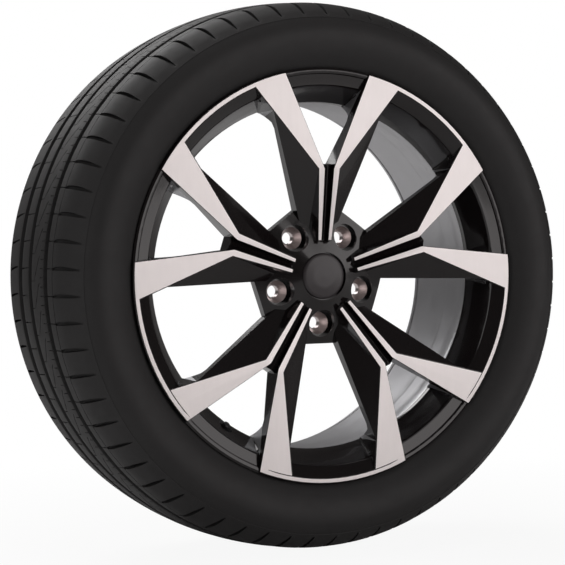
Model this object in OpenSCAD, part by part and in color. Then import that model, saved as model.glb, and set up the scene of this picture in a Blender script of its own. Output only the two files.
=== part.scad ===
// Car wheel and tyre assembly: a cast wheel with five pairs of twin spokes and a road tyre.
// The wheel stands upright: it spins about Y, its outer face looks towards -Y, Z is up,
// and the origin is the wheel's centre. Shapes are drawn lying down, outer face up,
// and the module upright() turns them. Depths are measured back from the outer face.

/* [Rim] */
// Outside diameter of both rim flanges
flange_d = 496.6; // [494:0.2:499]
// Bead seat diameter where it meets the flange
seat_d = 462; // [461:0.2:463]
// Rim width between the flanges
rim_w = 190.5; // [186:0.5:196]
// Thickness of a flange along the axle
flange_t = 9.75; // [8.5:0.25:12]
// Length of a bead seat along the axle
seat_l = 22; // [20:0.5:23]
// Slope of the bead seats in degrees
seat_slope = 5; // [4:0.5:6]
// Diameter of the drop well on the tyre side
well_d = 428; // [424:0.5:430]
// Inside diameter of the barrel at the drop well
throat_d = 420.4; // [414:0.2:421]
// Depth at which the drop well starts
well_start = 49; // [46:0.5:52]
// Depth at which the drop well ends
well_end = 60; // [57:0.5:64]
// Inside diameter of the barrel at its ridge line
ridge_d = 434; // [432:0.5:437]
// Depth of the barrel's ridge line
ridge_depth = 101; // [95:1:108]
// Wall thickness of the barrel behind the well
barrel_wall = 4.6; // [4:0.1:5.5]
// Inside diameter of the rear lip
rear_lip_d = 454; // [451:0.5:456]

/* [Outer face] */
// Inside diameter of the turned band on the rim
band_d = 482.8; // [480:0.2:486]
// Inside diameter of the lip's cone, at its foot
lip_d = 456; // [454:0.5:458]
// Depth of the lip's foot
lip_depth = 8; // [6:0.5:9]
// Half the width between a pair's spoke tips, at the rim
tip_half = 55.6; // [52:0.2:60]
// Distance of a spoke's window corner from the pair's axis
corner_x = 93.7; // [91:0.2:96]
// Height of a spoke's window corner above the axle
corner_z = 222.5; // [220:0.5:224]
// Knee of a spoke's window edge, from the pair's axis
knee_out_x = 14; // [13:0.2:16]
// Knee of a spoke's inner edge, from the pair's axis
knee_in_x = 5.6; // [5:0.1:6.4]
// Height of the knees above the axle
knee_z = 128; // [120:0.5:134]
// Slope of the fingers inside the knees, in degrees
finger_slope = 10.6; // [8:0.2:12]
// Height of the finger ends above the axle
finger_end_z = 41.6; // [40:0.2:46]
// Window edge of a finger's end, from the pair's axis
finger_out_x = 8.9; // [8.4:0.1:9.6]
// Inner edge of a finger's end, from the pair's axis
finger_in_x = 4.1; // [3.6:0.1:4.6]
// Draft of the fingers' window sides, as a ratio
finger_draft = 0.3; // [0.1:0.05:0.4]

/* [Spokes] */
// Window side of a spoke at the hub, from the pair's axis
side_hub_x = 27.4; // [26:0.2:30]
// Height of that point above the axle
side_hub_z = 70; // [68:0.5:72]
// Depth of the flank's crease at the hub
crease_depth = 31; // [28:0.5:33]
// Lean of a spoke's window side away from the pair's axis, as a ratio
side_lean = 0.35; // [0.32:0.01:0.38]
// Depth of the spokes' back at the hub
back_hub_depth = 47; // [45:0.5:50]
// Depth of the spokes' back at its thinnest
back_rim_depth = 15; // [13:0.5:18]
// Radius at which the back is thinnest
back_rim_r = 192; // [186:1:196]
// Depth of the groove between two fingers
groove_depth = 8; // [5:0.5:10]
// Drop of the groove's middle ridge
groove_ridge = 3.6; // [2.5:0.2:5]
// Height at which a pair's small window starts
small_window_z = 134; // [131:0.5:140]
// Corner radius where a spoke's window side meets the barrel
root_r = 11; // [8:0.5:13]
// Corner radius in the small windows
small_root_r = 5; // [4:0.5:6]

/* [Hub] */
// Depth of the hub's front at the cap recess
hub_front_depth = 19.5; // [18:0.5:22]
// Slope of the hub's front, as a ratio
hub_front_slope = 0.298; // [0.26:0.01:0.32]
// Distance of the hub's flats from the axle
hub_flat = 82; // [80:0.5:84]
// Depth of the mounting face
mount_depth = 60; // [58:0.5:62]
// Radius of the mounting face
mount_r = 75; // [73:0.5:77]
// Centre bore diameter
bore_d = 67.1; // [66.1:0.5:68.1]
// Depth of the centre bore from the mounting face
bore_l = 16; // [12:0.5:18]
// Bolt circle diameter
pcd = 114.3; // [112:0.1:115]
// Bolt hole diameter
bolt_hole_d = 14.6; // [13.6:0.2:15.4]
// Diameter of a bolt seat at its mouth
bolt_seat_d = 27; // [25:0.5:28]
// Depth of the bolt seats' mouths
bolt_seat_depth = 40; // [38:0.5:42]
// Diameter of the recess around a bolt hole
bolt_recess_d = 33; // [31:0.5:34]
// Diameter of the rear pockets between the bolts
pocket_d = 21; // [16:1:24]
// Depth of the rear pockets
pocket_l = 14; // [8:1:16]

/* [Centre cap] */
// Diameter of the cap's head
cap_d = 55.4; // [54:0.2:57]
// Width of the groove around the cap
cap_groove = 1.3; // [1:0.1:1.8]
// Thickness of the cap's head at its edge
cap_edge_t = 3.2; // [2.6:0.2:4]
// Rise of the cap's dome
cap_dome = 2; // [1:0.2:3]
// Diameter of the hole that the clips snap into
cap_hole_d = 52; // [50:0.2:53]
// Thickness of the ledge that the clips grip
cap_ledge_t = 8; // [6:0.5:10]
// Thickness of the clips
clip_t = 1.6; // [1.2:0.1:2]
// Number of clips
clip_count = 6; // [4:1:8]
// Barb of a clip beyond its outside
clip_barb = 1.1; // [0.8:0.1:1.4]
// Wire diameter of the spring ring
ring_wire = 1.6; // [1.2:0.1:2]

/* [Tyre] */
// Outside diameter of the tyre
tyre_d = 677.7; // [672:0.5:684]
// Bulge of the tyre's sides beyond the rim's faces
bulge = 14; // [9:0.5:16]
// Radius of the tread's crown
crown_r = 640; // [600:20:1200]
// Depth of the crown's highest line
crown_mid = 146; // [125:1:150]
// Radius of the front shoulder
front_shoulder_r = 125; // [110:5:140]
// Radius of the rear shoulder
rear_shoulder_r = 13; // [11:0.5:16]
// Thickness of the tread
tread_t = 16; // [14:0.5:18]
// Thickness of a sidewall
side_t = 9; // [7.5:0.5:11]
// Depth of the main tread grooves
groove_d = 7; // [5:0.5:8]
// Number of shoulder slots round the tyre
slot_count = 66; // [60:1:72]
// Width of a shoulder slot
slot_w = 3.4; // [2.6:0.2:4]
// Width of the main tread grooves
main_w = 8.5; // [7:0.5:10]

/* [Valve] */
// Diameter of the valve hole
valve_hole_d = 11.5; // [11.3:0.1:12]
// Diameter of the recess around the valve hole
valve_recess_d = 19.5; // [18:0.5:21]
// Depth of that recess from the barrel's surface
valve_recess_l = 6.2; // [5.6:0.2:6.8]
// Angle between the valve and the axle
valve_angle = 47; // [46:0.5:48]
// Radius of the valve's place on the barrel
valve_r = 216.1; // [215.5:0.1:217]
// Depth of the valve's place
valve_depth = 31.8; // [31:0.2:32.6]
// Diameter of the valve's cap
valve_cap_d = 9.4; // [9:0.1:10]
// Length of the valve's cap
valve_cap_l = 7.4; // [7:0.1:8]
// Travel of the core's pin
pin_travel = 1.2; // [0.8:0.1:1.4]

/* [Hidden] */
$fn = 96;
// pairs of spokes, and the pair whose small window holds the valve
pairs = 5;
valve_pair = 3;
step = 360 / pairs;
// running gap between pieces that seat on each other
seat_gap = 0.2;
face_z = rim_w / 2 + flange_t;
far = 400;
flange_r = flange_d / 2;
seat_r = seat_d / 2;
well_r = well_d / 2;
throat_r = throat_d / 2;
lip_r = lip_d / 2;
band_r = band_d / 2;
seat_end_r = seat_r - seat_l * tan(seat_slope);
seat_fillet = 6;
lip_bevel = 1.4;
flange_bevel = 4;
// a root's round cut runs this far past the faces it joins, so that it crosses them cleanly
root_sink = 0.4;
// the groove stays this much narrower than the small window it runs into
groove_step = 0.3;
slope_t = tan(finger_slope);
// lean of a pair's inner edges away from its axis, as a ratio
inner_lean = (tip_half - knee_in_x) / (sqrt(pow(flange_r, 2) - pow(tip_half, 2)) - knee_z);
// the plane of a flank, as depth = flank_x * (x - knee) - flank_z * (z - knee)
edge_x = corner_x - knee_out_x;
edge_z = corner_z - knee_z;
hub_x = side_hub_x - knee_out_x;
hub_z = side_hub_z - knee_z;
flank_n = edge_x * hub_z - edge_z * hub_x;
flank_x = -crease_depth * edge_z / flank_n;
flank_z = -crease_depth * edge_x / flank_n;
// tyre stations
tyre_r = tyre_d / 2;
slot_from = 32;
slot_to = 2.6;
tread_front = 50;
tread_rear = 210.5;
mid = face_z;
cap_r = cap_d / 2;
cap_recess_r = cap_r + cap_groove;
cap_floor = hub_front_depth + cap_edge_t + 1.2;
cap_hole_r = cap_hole_d / 2;
ledge_end = cap_floor + cap_ledge_t;
cavity_r = cap_hole_r + 4.5;
clip_r = cap_hole_r - 0.3;
barb_start = ledge_end + 0.4;
clip_end = barb_start + 3;
ring_r = clip_r - clip_t - ring_wire / 2 - 0.1;
valve_tilt = -(180 - valve_angle);
valve_wall = 4;
stem_r = 3.8;
stem_neck_r = 2.4;
stem_bore_r = 1.6;
pin_r = 0.45;

function depth(d) = face_z - d;
// radius of the tread's crown at a depth
function crown(d) = tyre_r - pow(d - crown_mid, 2) / (2 * crown_r);
// points of an arc from one angle to another
function arc(cx, cy, r, a0, a1, n) = [for (i = [0:n]) let (a = a0 + (a1 - a0) * i / n) [cx + r * cos(a), cy + r * sin(a)]];
// a closed profile given as radius and depth, turned over into radius and height
function lay(p) = [for (q = p) [q[0], depth(q[1])]];

module upright() {
    rotate([90, 0, 0]) children();
}

module revolve(points) {
    rotate_extrude($fn = 180) polygon(lay(points));
}

// everything on the side of a plane that its normal points to
module half_space(point, normal) {
    n = normal / norm(normal);
    translate(point) rotate([0, acos(n[2]), atan2(n[1], n[0])])
        translate([-far, -far, 0]) cube([2 * far, 2 * far, far]);
}

module each_pair() {
    for (k = [0:pairs - 1]) rotate([0, 0, -step * k]) children();
}

module both_sides() {
    children();
    mirror([1, 0, 0]) children();
}

// barrel and flanges of the rim
module rim() {
    back = rim_w + 2 * flange_t;
    hump_r = seat_end_r + 1.1;
    hump = 5;
    slope_r = ridge_d / 2 + barrel_wall;
    front_seat = concat(
        arc(seat_r + seat_fillet, flange_t + seat_fillet, seat_fillet, 270, 180, 6),
        [[seat_end_r, flange_t + seat_l]]);
    rear_seat = concat(
        [[seat_end_r, back - flange_t - seat_l]],
        arc(seat_r + seat_fillet, back - flange_t - seat_fillet, seat_fillet, 180, 90, 6));
    revolve(concat(
        [[band_r, 0], [flange_r - lip_bevel, 0], [flange_r, lip_bevel], [flange_r, flange_t - flange_bevel], [flange_r - flange_bevel, flange_t]],
        front_seat,
        [[well_r, well_start], [well_r, well_end], [slope_r - 5, well_end + 9], [slope_r, ridge_depth],
         [seat_end_r - 4, back - flange_t - seat_l - hump - 7],
         [hump_r, back - flange_t - seat_l - hump], [hump_r, back - flange_t - seat_l - hump + 3]],
        rear_seat,
        [[flange_r - flange_bevel, back - flange_t], [flange_r, back - flange_t + flange_bevel], [flange_r, back - lip_bevel],
         [flange_r - lip_bevel, back], [rear_lip_d / 2 + 3, back], [rear_lip_d / 2, back - 3],
         [rear_lip_d / 2 - 0.6, back - 9], [rear_lip_d / 2 + 1.4, back - 11],
         [rear_lip_d / 2 + 1, back - 14], [rear_lip_d / 2 - 3, back - 18],
         [ridge_d / 2 + 0.8, ridge_depth + 5], [ridge_d / 2 - 0.6, ridge_depth + 2.4],
         [ridge_d / 2 - 0.8, ridge_depth], [throat_r + 3.6, well_end + 8],
         [throat_r + 1.6, well_end + 3], [throat_r, well_start + 2], [throat_r, well_start - 4],
         [lip_r - 1.6, lip_depth + 2.6], [lip_r + 0.6, lip_depth], [band_r - 0.8, 1.2]]));
}

// depth and radius envelope of the spokes, from the hub to inside the rim's wall
module spoke_envelope() {
    revolve([[0, -1], [flange_r - lip_bevel, -1], [flange_r - lip_bevel, 4], [seat_r - 2.4, lip_depth + 3],
             [throat_r + 6.2, well_start - 13], [throat_r + 1.5, well_start - 3],
             [throat_r - 1.4, well_start - 4.5], [throat_r - 3.4, well_start - 10],
             [throat_r - 6.8, well_start - 18], [throat_r - 11, well_start - 26],
             [back_rim_r + 3, back_rim_depth + 1.6], [back_rim_r - 4, back_rim_depth],
             [mount_r, back_hub_depth], [0, back_hub_depth]]);
}

// plan of one pair, from the hub to the rim, without its small window
module pair_plan() {
    cross_z = (knee_out_x - side_hub_x + side_lean * side_hub_z - knee_z * edge_x / edge_z)
        / (side_lean - edge_x / edge_z);
    cross_x = side_hub_x + side_lean * (cross_z - side_hub_z);
    over = 30;
    right = [[side_hub_x - side_lean * (side_hub_z - 20), 20], [cross_x, cross_z], [corner_x, corner_z],
             [corner_x + over * cos(65), corner_z + over * sin(65)]];
    left = [for (i = [len(right) - 1:-1:0]) [-right[i][0], right[i][1]]];
    polygon(concat(right, left));
}

// plan between a pair's two inner edges, from the small window out past the rim
module inner_plan(start) {
    x0 = knee_in_x + inner_lean * (start - knee_z);
    x1 = knee_in_x + inner_lean * (260 - knee_z);
    polygon([[-x0, start], [x0, start], [x1, 260], [-x1, 260]]);
}

// what is cut away in front of a flank and beside a finger, on one side
module flank_cut() {
    intersection() {
        half_space([knee_out_x, knee_z, depth(0)], [flank_x, -flank_z, 1]);
        half_space([knee_out_x, knee_z, depth(0)],
            [1, -(knee_out_x - finger_out_x) / (knee_z - finger_end_z) - finger_draft * slope_t, finger_draft]);
    }
}

// groove between the two fingers, with a low ridge along its middle
module groove_cut() {
    fall = (groove_depth - groove_ridge) / knee_in_x;
    end_z = small_window_z + 1;
    end_x = knee_in_x + inner_lean * (end_z - knee_z) - groove_step;
    both_sides() intersection() {
        translate([0, 0, depth(60)]) linear_extrude(height = 70)
            polygon([[-finger_in_x, finger_end_z - 12], [finger_in_x, finger_end_z - 12],
                     [finger_in_x, finger_end_z], [knee_in_x, knee_z], [end_x, end_z],
                     [-end_x, end_z], [-knee_in_x, knee_z], [-finger_in_x, finger_end_z]]);
        half_space([0, knee_z, depth(groove_ridge)], [fall, -slope_t, 1]);
    }
}

// clears the fingers' ends down to the hub
module finger_end_cut() {
    reach = pcd / 4;
    translate([-reach, 0, depth(bolt_seat_depth)]) cube([2 * reach, finger_end_z + 1.2, bolt_seat_depth + 1]);
}

// front of the rim inside a pair: a plain rounded lip, set back from the turned faces
module pair_lip_cut() {
    intersection() {
        revolve([[flange_r + 3, -2], [flange_r + 3, 4.6], [flange_r - 0.8, 3.4], [flange_r - 2.6, 2.4],
                 [flange_r - 5, 2.6], [flange_r - 6.6, 3.6], [flange_r - 7.4, 5.4], [lip_r + 4, lip_depth + 0.6],
                 [lip_r, lip_depth + 2.4], [lip_r - 2.4, lip_depth + 6], [throat_r - 4, well_start - 4],
                 [throat_r - 4, -2]]);
        translate([0, 0, depth(60)]) linear_extrude(height = 70) inner_plan(small_window_z);
    }
}

// one pair of spokes
module spoke_pair() {
    difference() {
        intersection() {
            translate([0, 0, depth(back_hub_depth)]) linear_extrude(height = back_hub_depth) pair_plan();
            spoke_envelope();
            half_space([0, knee_z, depth(0)], [0, slope_t, -1]);
        }
        both_sides() flank_cut();
        groove_cut();
        finger_end_cut();
        translate([0, 0, depth(70)]) linear_extrude(height = 80) intersection() {
            inner_plan(small_window_z);
            circle(r = throat_r + 0.4, $fn = 180);
        }
        pair_lip_cut();
    }
}

// hub: cone front, five flats, mounting face at the back
module hub() {
    front_end = hub_front_depth + hub_front_slope * (100 - cap_recess_r);
    intersection() {
        revolve([[0, hub_front_depth], [cap_recess_r, hub_front_depth], [100, front_end],
                 [100, back_hub_depth], [hub_flat, back_hub_depth + 1], [mount_r, mount_depth - 1.5],
                 [mount_r - 1.5, mount_depth], [0, mount_depth]]);
        intersection_for (k = [0:pairs - 1]) rotate([0, 0, -step * k - step / 2])
            translate([-far, -far, -far]) cube([2 * far, far + hub_flat, 2 * far]);
    }
}

// centre bore, cap seat and clip ledge
module centre_cut() {
    bore_r = bore_d / 2;
    revolve([[0, -5], [cap_recess_r, -5], [cap_recess_r, cap_floor], [cap_hole_r, cap_floor],
             [cap_hole_r, ledge_end], [cavity_r, ledge_end], [cavity_r, mount_depth - bore_l],
             [0, mount_depth - bore_l]]);
    translate([0, 0, depth(mount_depth + 1)]) cylinder(h = bore_l + 1, r = bore_r);
    revolve([[0, mount_depth + 1], [bore_r + 2, mount_depth + 1], [bore_r, mount_depth - 1],
             [0, mount_depth - 1]]);
}

// recess, cone seat and hole of one bolt
module bolt_cut() {
    seat_l60 = (bolt_seat_d - bolt_hole_d) / 2 / tan(30);
    translate([0, pcd / 2, 0]) {
        translate([0, 0, depth(bolt_seat_depth)]) cylinder(h = 60, d = bolt_recess_d);
        translate([0, 0, depth(bolt_seat_depth + seat_l60)])
            cylinder(h = seat_l60, d1 = bolt_hole_d, d2 = bolt_seat_d);
        translate([0, 0, depth(mount_depth + 2)]) cylinder(h = 40, d = bolt_hole_d);
    }
}

// the valve's own frame: outward along +Z, towards the tyre's air space
module valve_frame() {
    rotate([0, 0, -step * valve_pair]) translate([0, valve_r, depth(valve_depth)])
        rotate([valve_tilt, 0, 0]) children();
}

module valve_cut() {
    valve_frame() {
        translate([0, 0, -20]) cylinder(h = 20 + valve_recess_l, d = valve_recess_d);
        cylinder(h = 20, d = valve_hole_d);
        translate([0, 0, valve_recess_l + valve_wall]) cylinder(h = 12, d = valve_recess_d + 2);
    }
}

// rounds the corner between a spoke's side and the barrel's cone; p and u give the side's line
module root(p, u, r) {
    n = [u[1], -u[0]];
    mid_depth = (lip_depth + well_start) / 2;
    mid_r = (lip_r + throat_r) / 2;
    q = p + n * (r - root_sink);
    reach = mid_r - r + root_sink;
    t = -(q * u) + sqrt(pow(q * u, 2) - q * q + pow(reach, 2));
    c = q + u * t;
    outward = c / norm(c);
    tilt = atan((lip_r - throat_r) / (well_start - lip_depth) / (outward * u));
    intersection() {
        spoke_envelope();
        revolve([[lip_r + 2, lip_depth + 1.5], [180, well_start - 23], [180, well_start], [lip_r + 2, well_start]]);
        translate([c[0], c[1], depth(mid_depth)]) rotate(a = -tilt, v = [n[0], n[1], 0])
            translate([0, 0, -30]) linear_extrude(height = 46) difference() {
                polygon([-n * (r + 1), u * (r + 6) - n * (r + 1), outward * (r + 6), [0, 0]]);
                circle(r = r);
            }
    }
}

module wheel() {
    edge_u = [edge_x, edge_z] / norm([edge_x, edge_z]);
    color([0.09, 0.09, 0.1]) upright() difference() {
        union() {
            rim();
            hub();
            each_pair() spoke_pair();
            each_pair() both_sides() {
                root([knee_out_x, knee_z], edge_u, root_r);
                root([-knee_in_x, knee_z], [-inner_lean, 1] / norm([inner_lean, 1]), small_root_r);
            }
        }
        centre_cut();
        for (k = [0:pairs - 1]) rotate([0, 0, -step * k - step / 2]) bolt_cut();
        each_pair() translate([0, pcd / 2, depth(mount_depth + 1)]) cylinder(h = pocket_l + 1, d = pocket_d);
        valve_cut();
    }
}

// main tread groove at a depth, open outwards
module tread_groove(d, w, deep) {
    revolve([[crown(d) - deep, d - w / 2 + 0.8], [crown(d) - deep, d + w / 2 - 0.8],
             [crown(d) + 3, d + w / 2 + 0.4], [crown(d) + 3, d - w / 2 - 0.4]]);
}

module tyre() {
    back = rim_w + 2 * flange_t;
    gap = seat_gap;
    bead_r = seat_r + gap;
    heel = seat_fillet;
    toe_r = bead_r - (seat_l - 3) * tan(seat_slope);
    front_turn = asin((crown_mid - tread_front) / crown_r);
    rear_turn = asin((tread_rear - crown_mid) / crown_r);
    front_shoulder = [for (i = [0:5]) let (a = front_turn + (32 - front_turn) * i / 5)
        [crown(tread_front) - front_shoulder_r * (cos(front_turn) - cos(a)),
         tread_front - front_shoulder_r * (sin(a) - sin(front_turn))]];
    rear_shoulder = [for (i = [0:5]) let (a = rear_turn + (75 - rear_turn) * i / 5)
        [crown(tread_rear) - rear_shoulder_r * (cos(rear_turn) - cos(a)),
         tread_rear + rear_shoulder_r * (sin(a) - sin(rear_turn))]];
    front_side = [[261, -4.5], [268, -8.6], [277, -12.2], [288, -bulge], [296, -bulge + 2],
                  [303, -bulge + 6], [310.4, -bulge + 12.6], [311, -bulge + 12.2]];
    rear_side = [[261, -4.5], [268, -8.6], [277, -12.2], [288, -bulge], [303, -bulge + 0.4],
                 [314, -bulge + 0.8], [315, -bulge + 0.2], [320, -bulge + 0.6]];
    flange_side = [[flange_r + 5, 2], [flange_r + 2 * gap, flange_t - flange_bevel],
                   [flange_r - flange_bevel + gap, flange_t + gap]];
    inner = [[toe_r, flange_t + gap + seat_l - 3], [toe_r + 6, flange_t + gap + seat_l - 2],
             [246, 16], [262, side_t - 1], [288, side_t - bulge], [306, side_t - 3],
             [crown(30) - tread_t, 26], [crown(50) - tread_t, 50], [crown(mid) - tread_t, mid]];
    inner_rear = [for (i = [len(inner) - 2:-1:0]) [inner[i][0], back - inner[i][1]]];
    color([0.14, 0.14, 0.14]) upright() difference() {
        revolve(concat(
            inner, inner_rear,
            arc(bead_r + heel, back - flange_t - gap - heel, heel, 180, 90, 4),
            [for (i = [len(flange_side) - 1:-1:0]) [flange_side[i][0], back - flange_side[i][1]]],
            [for (q = rear_side) [q[0], back - q[1]]],
            [for (i = [len(rear_shoulder) - 1:-1:0]) rear_shoulder[i]],
            [for (i = [1:7]) let (d = tread_rear + (tread_front - tread_rear) * i / 8) [crown(d), d]],
            front_shoulder,
            [for (i = [len(front_side) - 1:-1:0]) front_side[i]],
            flange_side,
            arc(bead_r + heel, flange_t + gap + heel, heel, 270, 180, 4)));
        tread_groove(mid - 57.7, main_w, groove_d);
        tread_groove(mid - 23, 3, 3);
        tread_groove(mid + 2, main_w + 3, groove_d);
        tread_groove(mid + 46.5, main_w + 4.5, groove_d);
        slots();
    }
}

// shoulder slots, cut to a floor that rises towards the sidewall
module slots() {
    intersection() {
        union() {
            revolve([[360, slot_from], [321, slot_from], [312, slot_to], [360, slot_to]]);
            revolve([[360, 178], [333, 178], [329.5, 212], [321, 225], [360, 225]]);
        }
        for (i = [0:slot_count - 1]) rotate([0, 0, i * 360 / slot_count])
            translate([-slot_w / 2, 300, -200]) cube([slot_w, 60, 400]);
    }
}

// plain cap with a domed head and a ring of clips
module centre_cap() {
    head_top = hub_front_depth - cap_dome + 0.6;
    edge = cap_floor - seat_gap;
    color([0.12, 0.11, 0.12]) upright() difference() {
        revolve([[0, head_top], [cap_r * 0.5, head_top + cap_dome * 0.28], [cap_r - 2, edge - cap_edge_t + 0.2],
                 [cap_r - 0.5, edge - cap_edge_t + 1.2], [cap_r, edge - cap_edge_t + 2.4], [cap_r, edge],
                 [clip_r, edge], [clip_r, barb_start], [clip_r + clip_barb, barb_start + 0.5],
                 [clip_r + clip_barb, barb_start + 1], [clip_r - 0.4, clip_end], [clip_r - clip_t, clip_end],
                 [clip_r - clip_t, edge - 1], [0, edge - 1]]);
        for (i = [0:clip_count - 1]) rotate([0, 0, i * 360 / clip_count])
            translate([-4, clip_r - 6, depth(clip_end + 1)]) cube([8, 12, clip_end + 1 - edge]);
    }
}

// wire ring that presses the clips outwards
module cap_spring_ring() {
    color([0.6, 0.6, 0.62]) upright() translate([0, 0, depth(barb_start + 1)])
        rotate_extrude($fn = 96) translate([ring_r, 0]) circle(d = ring_wire, $fn = 24);
}

module valve_solid(points) {
    rotate_extrude($fn = 64) polygon(points);
}

// rubber body: base in the air space, neck in the hole, shoulder in the recess
module valve_body() {
    inner = valve_recess_l + valve_wall;
    neck = valve_hole_d / 2 - 0.1;
    color([0.1, 0.1, 0.1]) upright() valve_frame() valve_solid([
        [stem_neck_r + 0.05, inner + 4.2], [7.6, inner + 4.2], [8.6, inner + 3], [8.6, inner + 1], [8, inner + 0.15],
        [neck, inner + 0.15], [neck, valve_recess_l - 0.15], [7.2, valve_recess_l - 0.15],
        [7.4, valve_recess_l - 1], [6.8, valve_recess_l - 2.4], [5, 2.9], [stem_neck_r + 0.05, 2.9]]);
}

// brass stem with the thread's outline
module valve_stem() {
    inner = valve_recess_l + valve_wall;
    color([0.75, 0.6, 0.3]) upright() valve_frame() valve_solid([
        [stem_bore_r, -3.8], [stem_r - 0.5, -3.8], [stem_r, -3.2], [stem_r, 2.7], [stem_neck_r, 2.7],
        [stem_neck_r, inner + 5], [stem_bore_r, inner + 5]]);
}

// core housing, screwed into the stem
module valve_core() {
    color([0.8, 0.66, 0.36]) upright() valve_frame() valve_solid([
        [pin_r + 0.12, -3.2], [stem_bore_r - 0.06, -3.2], [stem_bore_r - 0.06, 5], [pin_r + 0.12, 5]]);
}

// pin with its valve plate; pushing it in lets the air out
module valve_pin() {
    color([0.82, 0.7, 0.42]) upright() valve_frame() valve_solid([
        [0, -3.7], [pin_r, -3.7], [pin_r, 5.15], [stem_bore_r - 0.2, 5.15], [stem_bore_r - 0.2, 6.4],
        [pin_r, 6.4], [pin_r, 9.6], [0, 9.6]]);
}

// ribbed plastic cap, screwed on the stem
module valve_cap() {
    tip = 2.5 - valve_cap_l;
    outer = valve_cap_d / 2;
    color([0.11, 0.11, 0.12]) upright() valve_frame() difference() {
        valve_solid([[0, tip], [outer - 1, tip], [outer, tip + 1], [outer, 2.5], [stem_r + 0.15, 2.5],
                     [stem_r + 0.15, -4], [0, -4]]);
        for (i = [0:11]) rotate([0, 0, i * 30]) translate([outer + 0.35, 0, tip - 1])
            cylinder(h = 8, r = 0.7, $fn = 24);
    }
}

wheel();
tyre();
centre_cap();
cap_spring_ring();
valve_body();
valve_stem();
valve_core();
valve_pin();
valve_cap();
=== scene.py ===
import bpy
import math
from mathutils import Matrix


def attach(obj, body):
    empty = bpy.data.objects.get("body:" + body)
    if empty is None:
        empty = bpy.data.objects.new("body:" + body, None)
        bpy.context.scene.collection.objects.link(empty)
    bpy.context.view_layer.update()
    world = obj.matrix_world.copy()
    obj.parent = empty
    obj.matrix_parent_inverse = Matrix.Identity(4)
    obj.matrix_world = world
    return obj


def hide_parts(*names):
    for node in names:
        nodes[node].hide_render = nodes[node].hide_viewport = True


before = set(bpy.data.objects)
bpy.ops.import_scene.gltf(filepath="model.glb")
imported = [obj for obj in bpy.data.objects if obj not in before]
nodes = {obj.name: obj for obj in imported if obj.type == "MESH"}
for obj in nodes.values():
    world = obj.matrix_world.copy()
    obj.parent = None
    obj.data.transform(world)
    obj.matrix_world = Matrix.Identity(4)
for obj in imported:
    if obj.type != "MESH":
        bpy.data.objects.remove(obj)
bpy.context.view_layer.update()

# The camera stands in front of the wheel, a little left of its axle and level with
# its hub, with a long lens. Its place and turn were solved from the photograph.
bpy.ops.object.camera_add(location=(-0.8339, -1.8406, 0.0436),
                          rotation=(math.radians(88.5116), math.radians(0.9507), math.radians(-23.9553)))
camera = bpy.context.object
camera.data.lens = 102.93
camera.data.sensor_width = 36
camera.data.clip_end = 30
bpy.context.scene.camera = camera
bpy.context.scene.view_settings.view_transform = "Standard"

# The studio is a dim room that reads as plain white to the camera.
# Large soft panels stand in it: their reflections draw the edges of the black paint.
room = bpy.data.worlds.new("white_room")
bpy.context.scene.world = room
room.use_nodes = True
room_nodes = room.node_tree.nodes
room_links = room.node_tree.links
room_nodes.clear()
room_out = room_nodes.new("ShaderNodeOutputWorld")
room_mix = room_nodes.new("ShaderNodeMixShader")
room_light = room_nodes.new("ShaderNodeBackground")
room_light.inputs["Color"].default_value = (0.62, 0.59, 0.58, 1)
room_light.inputs["Strength"].default_value = 0.11
room_white = room_nodes.new("ShaderNodeBackground")
room_white.inputs["Color"].default_value = (1, 1, 1, 1)
room_white.inputs["Strength"].default_value = 1.0
room_path = room_nodes.new("ShaderNodeLightPath")
room_links.new(room_path.outputs["Is Camera Ray"], room_mix.inputs["Fac"])
room_links.new(room_light.outputs[0], room_mix.inputs[1])
room_links.new(room_white.outputs[0], room_mix.inputs[2])
room_links.new(room_mix.outputs[0], room_out.inputs["Surface"])


def soft_panel(name, place, aim, size, watts, tint):
    bpy.ops.object.light_add(type="AREA", location=place)
    panel = bpy.context.object
    panel.name = name
    panel.data.shape = "RECTANGLE"
    panel.data.size = size[0]
    panel.data.size_y = size[1]
    panel.data.energy = watts
    panel.data.color = tint
    back = [place[i] - aim[i] for i in range(3)]
    panel.rotation_euler = (math.atan2(math.hypot(back[0], back[1]), back[2]), 0,
                            math.atan2(back[1], back[0]) + math.pi / 2)


soft_panel("front_panel", (1.5, -2.5, 0.25), (0, 0, 0), (3.0, 2.8), 48, (1, 0.955, 0.95))
soft_panel("top_panel", (-0.3, -0.2, 2.4), (0, 0, 0), (2.6, 2.2), 11, (1, 0.97, 0.97))
soft_panel("left_panel", (-2.6, -0.5, 0.5), (0, 0, 0), (1.6, 2.2), 13, (1, 0.98, 0.98))
soft_panel("rear_panel", (-0.5, 1.7, 1.7), (0, 0, -0.15), (1.8, 1.8), 32, (1, 0.99, 0.99))

# The floor is a pale sheet of studio paper under the tyre. It shows the wheel's soft
# shadow and runs out to the white of the room.
bpy.ops.mesh.primitive_plane_add(size=24, location=(0, 0, -0.3395))
floor = bpy.context.object
floor.name = "studio_floor"
paper = bpy.data.materials.new("studio_paper")
paper.use_nodes = True
paper_nodes = paper.node_tree.nodes
paper_links = paper.node_tree.links
paper_shader = paper_nodes["Principled BSDF"]
paper_shader.inputs["Base Color"].default_value = (0.9, 0.9, 0.9, 1)
paper_shader.inputs["Roughness"].default_value = 0.9
paper_glow = paper_nodes.new("ShaderNodeEmission")
paper_glow.inputs["Color"].default_value = (1, 1, 1, 1)
paper_glow.inputs["Strength"].default_value = 1.0
paper_path = paper_nodes.new("ShaderNodeLightPath")
paper_place = paper_nodes.new("ShaderNodeTexCoord")
paper_reach = paper_nodes.new("ShaderNodeVectorMath")
paper_reach.operation = "LENGTH"
paper_fade = paper_nodes.new("ShaderNodeMapRange")
paper_fade.inputs["From Min"].default_value = 0.3
paper_fade.inputs["From Max"].default_value = 0.9
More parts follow.
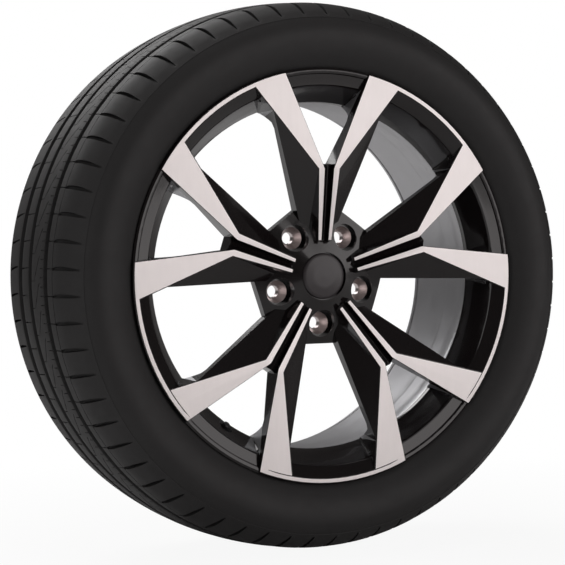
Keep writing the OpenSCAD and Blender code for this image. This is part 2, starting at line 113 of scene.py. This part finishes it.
paper_fade.inputs["To Min"].default_value = 0.92
paper_fade.inputs["To Max"].default_value = 1.0
paper_seen = paper_nodes.new("ShaderNodeMath")
paper_seen.operation = "MULTIPLY"
paper_mix = paper_nodes.new("ShaderNodeMixShader")
paper_links.new(paper_place.outputs["Object"], paper_reach.inputs[0])
paper_links.new(paper_reach.outputs["Value"], paper_fade.inputs["Value"])
paper_links.new(paper_fade.outputs["Result"], paper_seen.inputs[0])
paper_links.new(paper_path.outputs["Is Camera Ray"], paper_seen.inputs[1])
paper_links.new(paper_seen.outputs["Value"], paper_mix.inputs["Fac"])
paper_links.new(paper_shader.outputs[0], paper_mix.inputs[1])
paper_links.new(paper_glow.outputs[0], paper_mix.inputs[2])
paper_links.new(paper_mix.outputs[0], paper_nodes["Material Output"].inputs["Surface"])
floor.data.materials.append(paper)


# The wheel is one aluminium casting, sprayed gloss black all over its front. Its barrel
# stays silver, its outer face and the tops of the fingers are turned bright and clear
# coated, and the bolt seats, centre bore and hub face are left as machined.
def finish(name, colour, roughness, metallic=0.0):
    made = bpy.data.materials.new(name)
    made.use_nodes = True
    shader = made.node_tree.nodes["Principled BSDF"]
    shader.inputs["Base Color"].default_value = (*colour, 1)
    shader.inputs["Roughness"].default_value = roughness
    shader.inputs["Metallic"].default_value = metallic
    return made


def noise_on(made, scale, detail=3.0, stretch=(1, 1, 1)):
    tree = made.node_tree
    place = tree.nodes.new("ShaderNodeTexCoord")
    mapping = tree.nodes.new("ShaderNodeMapping")
    mapping.inputs["Scale"].default_value = stretch
    noise = tree.nodes.new("ShaderNodeTexNoise")
    noise.inputs["Scale"].default_value = scale
    noise.inputs["Detail"].default_value = detail
    tree.links.new(place.outputs["Object"], mapping.inputs["Vector"])
    tree.links.new(mapping.outputs["Vector"], noise.inputs["Vector"])
    return noise.outputs["Fac"]


def vary(made, source, socket, low, high):
    tree = made.node_tree
    shader = tree.nodes["Principled BSDF"]
    if socket == "Base Color":
        blend = tree.nodes.new("ShaderNodeMix")
        blend.data_type = "RGBA"
        blend.inputs["A"].default_value = (*low, 1)
        blend.inputs["B"].default_value = (*high, 1)
        tree.links.new(source, blend.inputs["Factor"])
        tree.links.new(blend.outputs["Result"], shader.inputs[socket])
        return
    spread = tree.nodes.new("ShaderNodeMapRange")
    spread.inputs["To Min"].default_value = low
    spread.inputs["To Max"].default_value = high
    tree.links.new(source, spread.inputs["Value"])
    tree.links.new(spread.outputs["Result"], shader.inputs[socket])


def roughen(made, source, height, strength):
    tree = made.node_tree
    bump = tree.nodes.new("ShaderNodeBump")
    bump.inputs["Distance"].default_value = height
    bump.inputs["Strength"].default_value = strength
    tree.links.new(source, bump.inputs["Height"])
    tree.links.new(bump.outputs["Normal"], tree.nodes["Principled BSDF"].inputs["Normal"])


black_paint = finish("gloss_black_paint", (0.005, 0.004, 0.0042), 0.16)
paint_shader = black_paint.node_tree.nodes["Principled BSDF"]
paint_shader.inputs["Specular IOR Level"].default_value = 0.35
paint_shader.inputs["Coat Weight"].default_value = 0.45
paint_shader.inputs["Coat Roughness"].default_value = 0.05
vary(black_paint, noise_on(black_paint, 14), "Base Color",
     (0.006, 0.0044, 0.0046), (0.009, 0.0068, 0.007))
roughen(black_paint, noise_on(black_paint, 620, 1.0), 0.0001, 0.06)

turned_metal = finish("turned_metal", (0.90, 0.84, 0.83), 0.42, 0.35)
vary(turned_metal, noise_on(turned_metal, 320, 2.0, (1, 0.05, 0.09)), "Base Color",
     (0.88, 0.83, 0.82), (0.92, 0.87, 0.86))
vary(turned_metal, noise_on(turned_metal, 60), "Roughness", 0.38, 0.46)

barrel_paint = finish("silver_barrel_paint", (0.46, 0.46, 0.475), 0.36, 0.7)
vary(barrel_paint, noise_on(barrel_paint, 40), "Roughness", 0.30, 0.42)
roughen(barrel_paint, noise_on(barrel_paint, 900, 1.0), 0.0001, 0.05)

bare_metal = finish("machined_aluminium", (0.62, 0.56, 0.55), 0.3, 1.0)
vary(bare_metal, noise_on(bare_metal, 500, 2.0, (1, 0.1, 1)), "Roughness", 0.22, 0.4)

FACE_Y = -0.105
FACE_SLACK = 0.00012
FINGER_SLACK = 0.00015
FINGER_END_Z = 0.036
KNEE_Z = 0.128
FINGER_SLOPE = math.tan(math.radians(10.6))
PAIRS = 5
BOLT_CIRCLE = 0.1143
SEAT_Y = -0.0652
SEAT_R = 0.0137
BARREL_R = 0.205
FLANGE_BACK_Y = -0.094
HUB_BACK_Y = -0.0451
HUB_R = 0.078
BORE_R = 0.033
BORE_WALL_R = 0.0345
CAVITY_Y = -0.0621

casting = bpy.data.objects.new("wheel_casting", nodes["wheel"].data.copy())
bpy.context.collection.objects.link(casting)
bpy.ops.object.select_all(action="DESELECT")
bpy.context.view_layer.objects.active = casting
casting.select_set(True)
casting.data.materials.clear()
for made in (black_paint, turned_metal, barrel_paint, bare_metal):
    casting.data.materials.append(made)
bpy.ops.mesh.customdata_custom_splitnormals_clear()
bpy.ops.object.mode_set(mode="EDIT")
bpy.ops.mesh.select_all(action="SELECT")
bpy.ops.mesh.remove_doubles(threshold=0.000002)
bpy.ops.object.mode_set(mode="OBJECT")

# between the two spokes of a pair the rim's lip is rounded and set back from the turned face
FLANGE_R = 0.2483
KNEE_IN_X = 0.0056
INNER_LEAN = 0.4386
LIP_CUT = ((3.0, -2.0), (3.0, 4.6), (-0.8, 3.4), (-2.6, 2.4), (-5.0, 2.6), (-6.6, 3.6), (-7.4, 5.2),
           (-15.3, 7.2), (-19.5, 8.1), (-24.0, -2.0))
half_turn = math.radians(15)
bpy.ops.object.select_all(action="DESELECT")
bpy.ops.mesh.primitive_circle_add(vertices=len(LIP_CUT), fill_type="NGON")
lip_cutter = bpy.context.object
for corner, (out, depth) in zip(lip_cutter.data.vertices, LIP_CUT):
    radius = FLANGE_R + out / 1000
    corner.co = (-radius * math.sin(half_turn), FACE_Y + depth / 1000, radius * math.cos(half_turn))
bpy.ops.object.mode_set(mode="EDIT")
bpy.ops.mesh.select_all(action="SELECT")
bpy.ops.mesh.spin(steps=30, angle=-2 * half_turn, center=(0, 0, 0), axis=(0, 1, 0))
for side in (1, -1):
    bpy.ops.mesh.select_all(action="SELECT")
    bpy.ops.mesh.bisect(plane_co=(side * KNEE_IN_X, 0, KNEE_Z), plane_no=(side, 0, -INNER_LEAN),
                        use_fill=True, clear_outer=True)
bpy.ops.mesh.select_all(action="SELECT")
bpy.ops.mesh.normals_make_consistent(inside=False)
bpy.ops.mesh.spin(steps=PAIRS - 1, dupli=True, angle=2 * math.pi * (PAIRS - 1) / PAIRS,
                  center=(0, 0, 0), axis=(0, 1, 0))
bpy.ops.object.mode_set(mode="OBJECT")
bpy.ops.object.select_all(action="DESELECT")
bpy.context.view_layer.objects.active = casting
casting.select_set(True)
lip = casting.modifiers.new("pair_lip", "BOOLEAN")
lip.operation = "DIFFERENCE"
lip.solver = "MANIFOLD"
lip.object = lip_cutter
bpy.ops.object.modifier_apply(modifier="pair_lip")
bpy.data.objects.remove(lip_cutter)

# the black paint stops at the barrel's throat
PAINT_END_Y = -0.0595
bpy.ops.object.mode_set(mode="EDIT")
bpy.ops.mesh.select_all(action="SELECT")
bpy.ops.mesh.bisect(plane_co=(0, PAINT_END_Y, 0), plane_no=(0, 1, 0))
bpy.ops.mesh.select_all(action="SELECT")
bpy.ops.mesh.dissolve_limited(angle_limit=math.radians(0.3))
bpy.ops.mesh.select_all(action="SELECT")
bpy.ops.mesh.remove_doubles(threshold=0.0001)
bpy.ops.mesh.quads_convert_to_tris(ngon_method="BEAUTY")
bpy.ops.mesh.select_all(action="DESELECT")
bpy.ops.object.mode_set(mode="OBJECT")


def on_turned_face(point):
    if abs(point.y - FACE_Y) < FACE_SLACK:
        return True
    turn = 2 * math.pi / PAIRS
    lean = math.atan2(point.x, point.z)
    lean -= round(lean / turn) * turn
    out = math.hypot(point.x, point.z) * math.cos(lean)
    top = FACE_Y + FINGER_SLOPE * (KNEE_Z - out)
    return FINGER_END_Z < out < KNEE_Z + 0.0005 and abs(point.y - top) < FINGER_SLACK


def from_bolt(point):
    turn = 2 * math.pi / PAIRS
    lean = math.atan2(point.x, point.z) - turn / 2
    lean -= round(lean / turn) * turn
    out = math.hypot(point.x, point.z)
    return math.hypot(out * math.cos(lean) - BOLT_CIRCLE / 2, out * math.sin(lean))


corners = casting.data.vertices
for face in casting.data.polygons:
    middle = face.center
    radius = math.hypot(middle.x, middle.z)
    inward = face.normal.x * middle.x + face.normal.z * middle.z < 0
    if face.normal.y < -0.9 and all(on_turned_face(corners[i].co) for i in face.vertices):
        face.material_index = 1
    elif radius > BARREL_R and (middle.y > PAINT_END_Y or not inward and middle.y > FLANGE_BACK_Y):
        face.material_index = 2
    elif middle.y > HUB_BACK_Y and BORE_R < radius < HUB_R and face.normal.y > 0.9:
        face.material_index = 3
    elif radius < BORE_WALL_R and middle.y > CAVITY_Y:
        face.material_index = 3
    elif middle.y > SEAT_Y and all(from_bolt(corners[i].co) < SEAT_R for i in face.vertices):
        face.material_index = 3

# the turned faces end at a narrow painted break
TURNED = 1
beside = {}
for face in casting.data.polygons:
    for key in face.edge_keys:
        beside.setdefault(key, []).append(face.material_index == TURNED)
bpy.context.tool_settings.mesh_select_mode = (False, True, False)
for edge in casting.data.edges:
    edge.select = sum(beside[edge.key]) == 1
bpy.ops.object.mode_set(mode="EDIT")
bpy.ops.mesh.bevel(offset=0.0006, segments=2, affect="EDGES", clamp_overlap=False, loop_slide=False,
                   material=0)
bpy.ops.object.mode_set(mode="OBJECT")
bpy.ops.object.shade_smooth_by_angle(angle=math.radians(28))
flat_faces = casting.modifiers.new("flat_faces", "WEIGHTED_NORMAL")
flat_faces.keep_sharp = True
flat_faces.weight = 80
bpy.ops.object.modifier_apply(modifier="flat_faces")
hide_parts("wheel")
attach(casting, "wheel_assembly")

# The tyre is a low road tyre of black rubber, moulded in one piece round its cords.
# Grooves run round the tread, slots cross its shoulders, and thin cuts cross its ribs.
rubber = finish("tyre_rubber", (0.02, 0.0195, 0.0195), 0.66)
rubber.node_tree.nodes["Principled BSDF"].inputs["Specular IOR Level"].default_value = 0.35
vary(rubber, noise_on(rubber, 30), "Base Color", (0.018, 0.0173, 0.0175), (0.023, 0.0222, 0.0224))
vary(rubber, noise_on(rubber, 90), "Roughness", 0.55, 0.7)
roughen(rubber, noise_on(rubber, 1100, 2.0), 0.0002, 0.08)

# profile of the moulding, as radius and depth behind the rim's outer face, in millimetres
RIM_MIDDLE = 105
CROWN_R = 338.65
CROWN_DEPTH = 146
CROWN_ARC = 640
GROOVES = ((62.5, 10.5, 7), (111.5, 11.5, 7), (151.5, 16, 7))
FRONT_SIDE = ((231.2, 15.8), (231.6, 13.6), (233.2, 11.4), (237.2, 9.95), (244.5, 9.95), (248.7, 5.75),
              (253.3, 2.0), (261, -4.5), (268, -8.6), (277, -12.2), (288, -14), (296, -12), (303, -8),
              (307, -4.4), (307.6, -4.7), (308.6, -3.4), (313.9, 2.4), (317.3, 7.3), (320.9, 13.4),
              (324.6, 20.4), (327.9, 28.6), (330.2, 38.8))
REAR_SIDE = ((336.0, 205), (335.3, 210.5), (333.9, 214.6), (331, 218.6), (327.4, 221.6), (323.4, 223.2),
             (320, 223.4), (315, 223.8), (314, 223.2), (303, 223.6), (288, 224), (277, 222.2), (268, 218.6),
             (261, 214.5), (253.3, 208), (248.7, 204.25), (244.5, 200.05), (237.2, 200.05), (233.2, 198.6),
             (231.6, 196.4), (231.2, 194.2))
INSIDE = ((229.6, 181), (235, 180), (246, 194), (262, 201), (288, 215), (306, 208), (318, 184), (320, 160),
          (322, 105), (320, 50), (318, 26), (306, 6), (288, -5), (262, 8), (246, 16), (235, 30), (229.6, 29))


def crown(depth):
    return CROWN_R - (depth - CROWN_DEPTH) ** 2 / (2 * CROWN_ARC)


def tread_profile():
    points = []
    start = 46
    for middle, width, deep in GROOVES:
        points += [(crown(d), d) for d in range(start, int(middle - width / 2 - 2), 6)]
        left, right = middle - width / 2, middle + width / 2
        points += [(crown(left) - 0.4, left - 0.3), (crown(left) - 1.2, left + 0.1),
                   (crown(left) - deep + 0.8, left + 0.9), (crown(left) - deep, left + 2),
                   (crown(right) - deep, right - 2), (crown(right) - deep + 0.8, right - 0.9),
                   (crown(right) - 1.2, right - 0.1), (crown(right) - 0.4, right + 0.3)]
        start = int(right + 4)
    return points + [(crown(d), d) for d in range(start, 201, 6)]


def line_groove(depth, radius, size):
    bpy.ops.mesh.primitive_torus_add(major_segments=240, minor_segments=4, major_radius=radius / 1000,
                                     minor_radius=size / 1000, location=(0, (depth - RIM_MIDDLE) / 1000, 0),
                                     rotation=(math.pi / 2, 0, 0))


def cross_cuts(stations, count):
    """Blades across the tread, each through stations of depth, width, floor radius and shift."""
    last = len(stations) - 1
    bpy.ops.mesh.primitive_grid_add(x_subdivisions=1, y_subdivisions=last, size=1)
    bpy.ops.object.mode_set(mode="EDIT")
    bpy.ops.mesh.select_all(action="SELECT")
    bpy.ops.mesh.extrude_region_move(TRANSFORM_OT_translate={"value": (0, 0, 1)})
    bpy.ops.object.mode_set(mode="OBJECT")
    blade = bpy.context.object
    for corner in blade.data.vertices:
        depth, width, floor_r, shift = stations[round((corner.co.y + 0.5) * last)]
        radius = floor_r if corner.co.z < 0.5 else CROWN_R + 8
        corner.co = (math.copysign(width / 2, corner.co.x) / 1000 + shift / 1000, (depth - RIM_MIDDLE) / 1000,
                     radius / 1000)
    bpy.ops.object.mode_set(mode="EDIT")
    bpy.ops.mesh.select_all(action="SELECT")
    bpy.ops.mesh.normals_make_consistent(inside=False)
    bpy.ops.mesh.spin(steps=count - 1, dupli=True, angle=2 * math.pi * (count - 1) / count,
                      center=(0, 0, 0), axis=(0, 1, 0))
    bpy.ops.object.mode_set(mode="OBJECT")


def join_cutters(name, makers):
    bpy.ops.object.select_all(action="DESELECT")
    made = []
    for maker in makers:
        maker()
        made.append(bpy.context.object)
        bpy.ops.object.transform_apply(location=True, rotation=True, scale=True)
    for piece in made:
        piece.select_set(True)
    bpy.context.view_layer.objects.active = made[0]
    if len(made) > 1:
        bpy.ops.object.join()
    made[0].name = name
    return made[0]


tyre_profile = FRONT_SIDE + tuple(tread_profile()) + REAR_SIDE + INSIDE
bpy.ops.object.select_all(action="DESELECT")
bpy.ops.mesh.primitive_circle_add(vertices=len(tyre_profile))
tyre = bpy.context.object
tyre.name = "tyre_moulding"
for corner, (radius, depth) in zip(tyre.data.vertices, tyre_profile):
    corner.co = (0, (depth - RIM_MIDDLE) / 1000, radius / 1000)
bpy.ops.object.mode_set(mode="EDIT")
bpy.ops.mesh.select_all(action="SELECT")
bpy.ops.mesh.spin(steps=264, angle=2 * math.pi, center=(0, 0, 0), axis=(0, 1, 0), use_auto_merge=True)
bpy.ops.mesh.select_all(action="SELECT")
bpy.ops.mesh.remove_doubles(threshold=0.000005)
bpy.ops.mesh.normals_make_consistent(inside=False)
bpy.ops.object.mode_set(mode="OBJECT")
bpy.ops.object.transform_apply(location=True, rotation=True, scale=True)
tyre.data.materials.append(rubber)

SLOTS = 66
cutters = (
    join_cutters("line_cutters", (
        lambda: line_groove(42, crown(42) + 0.1, 0.9),)),
    join_cutters("slot_cutters", (
        lambda: cross_cuts(((-1, 2.0, 310.8, -0.8), (8, 3.6, 313.4, -0.2), (16, 4.6, 316.4, 0.4),
                            (27, 4.6, 320.6, 0.5), (36, 4.2, 325, 0.2), (41, 3.0, 329, -0.4)), SLOTS),
        lambda: cross_cuts(((164, 1.6, crown(164) - 4, 1.5), (184, 3.0, crown(184) - 5, 0),
                            (205, 3.4, 328, -2.5)), SLOTS),
        lambda: cross_cuts(((119, 1.0, crown(119) - 3, 0.6), (143, 1.4, crown(143) - 3, -0.6)), SLOTS),
        lambda: cross_cuts(((79, 1.4, crown(79) - 2.4, 15), (83, 2.6, crown(83) - 3.4, 10.5),
                            (90, 3.0, crown(90) - 3.4, -4), (96, 1.2, crown(96) - 2.4, -13.5)), SLOTS),
        lambda: cross_cuts(((67.5, 0.8, crown(68) - 1.6, 0), (77, 0.8, crown(77) - 1.6, 0)), 3 * SLOTS))),
    join_cutters("sipe_cutters", (
        lambda: cross_cuts(((38, 1.1, crown(42) - 4, 0), (57, 1.1, crown(57) - 3, 0)), SLOTS),
        lambda: cross_cuts(((94, 0.9, crown(94) - 2.4, -14), (106, 0.9, crown(106) - 2.4, -15)), SLOTS))))
for cutter in cutters:
    cut = tyre.modifiers.new("cut", "BOOLEAN")
    cut.operation = "DIFFERENCE"
    cut.solver = "MANIFOLD"
    cut.object = cutter
    bpy.ops.object.select_all(action="DESELECT")
    bpy.context.view_layer.objects.active = tyre
    tyre.select_set(True)
    bpy.ops.object.modifier_apply(modifier="cut")
    bpy.data.objects.remove(cutter)
bpy.ops.object.shade_smooth_by_angle(angle=math.radians(32))
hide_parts("tyre")
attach(tyre, "wheel_assembly")

# The centre cap is moulded in dark plastic with a plain domed head. Its clips snap into
# the hub's hole, and a ring of bright spring wire holds them out.
cap_plastic = finish("satin_cap_plastic", (0.03, 0.025, 0.027), 0.34)
vary(cap_plastic, noise_on(cap_plastic, 40), "Roughness", 0.3, 0.4)
roughen(cap_plastic, noise_on(cap_plastic, 1500, 1.0), 0.0001, 0.05)
wire = finish("spring_wire", (0.6, 0.6, 0.62), 0.28, 1.0)
vary(wire, noise_on(wire, 300), "Roughness", 0.2, 0.4)

# The valve snaps into its hole in the rim: a rubber body, a brass stem with its core and
# pin, and a ribbed plastic dust cap that screws off.
valve_rubber = finish("valve_rubber", (0.02, 0.02, 0.02), 0.6)
roughen(valve_rubber, noise_on(valve_rubber, 900), 0.0002, 0.1)
valve_brass = finish("valve_brass", (0.72, 0.5, 0.24), 0.3, 1.0)
vary(valve_brass, noise_on(valve_brass, 400), "Roughness", 0.22, 0.42)
cap_black = finish("dust_cap_plastic", (0.02, 0.02, 0.021), 0.45)
roughen(cap_black, noise_on(cap_black, 900), 0.0001, 0.1)

cap = bpy.data.objects.new("domed_centre_cap", nodes["centre_cap"].data.copy())
bpy.context.collection.objects.link(cap)
bpy.ops.object.select_all(action="DESELECT")
bpy.context.view_layer.objects.active = cap
cap.select_set(True)
cap.data.materials.clear()
cap.data.materials.append(cap_plastic)
bpy.ops.mesh.customdata_custom_splitnormals_clear()
bpy.ops.object.mode_set(mode="EDIT")
bpy.ops.mesh.select_all(action="SELECT")
bpy.ops.mesh.remove_doubles(threshold=0.000002)
bpy.ops.object.mode_set(mode="OBJECT")
bpy.ops.object.shade_smooth_by_angle(angle=math.radians(30))
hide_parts("centre_cap")
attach(cap, "wheel_assembly")

for name, made in (("cap_spring_ring", wire),
                   ("valve_body", valve_rubber), ("valve_stem", valve_brass),
                   ("valve_core", valve_brass), ("valve_pin", valve_brass), ("valve_cap", cap_black)):
    nodes[name].data.materials.clear()
    nodes[name].data.materials.append(made)
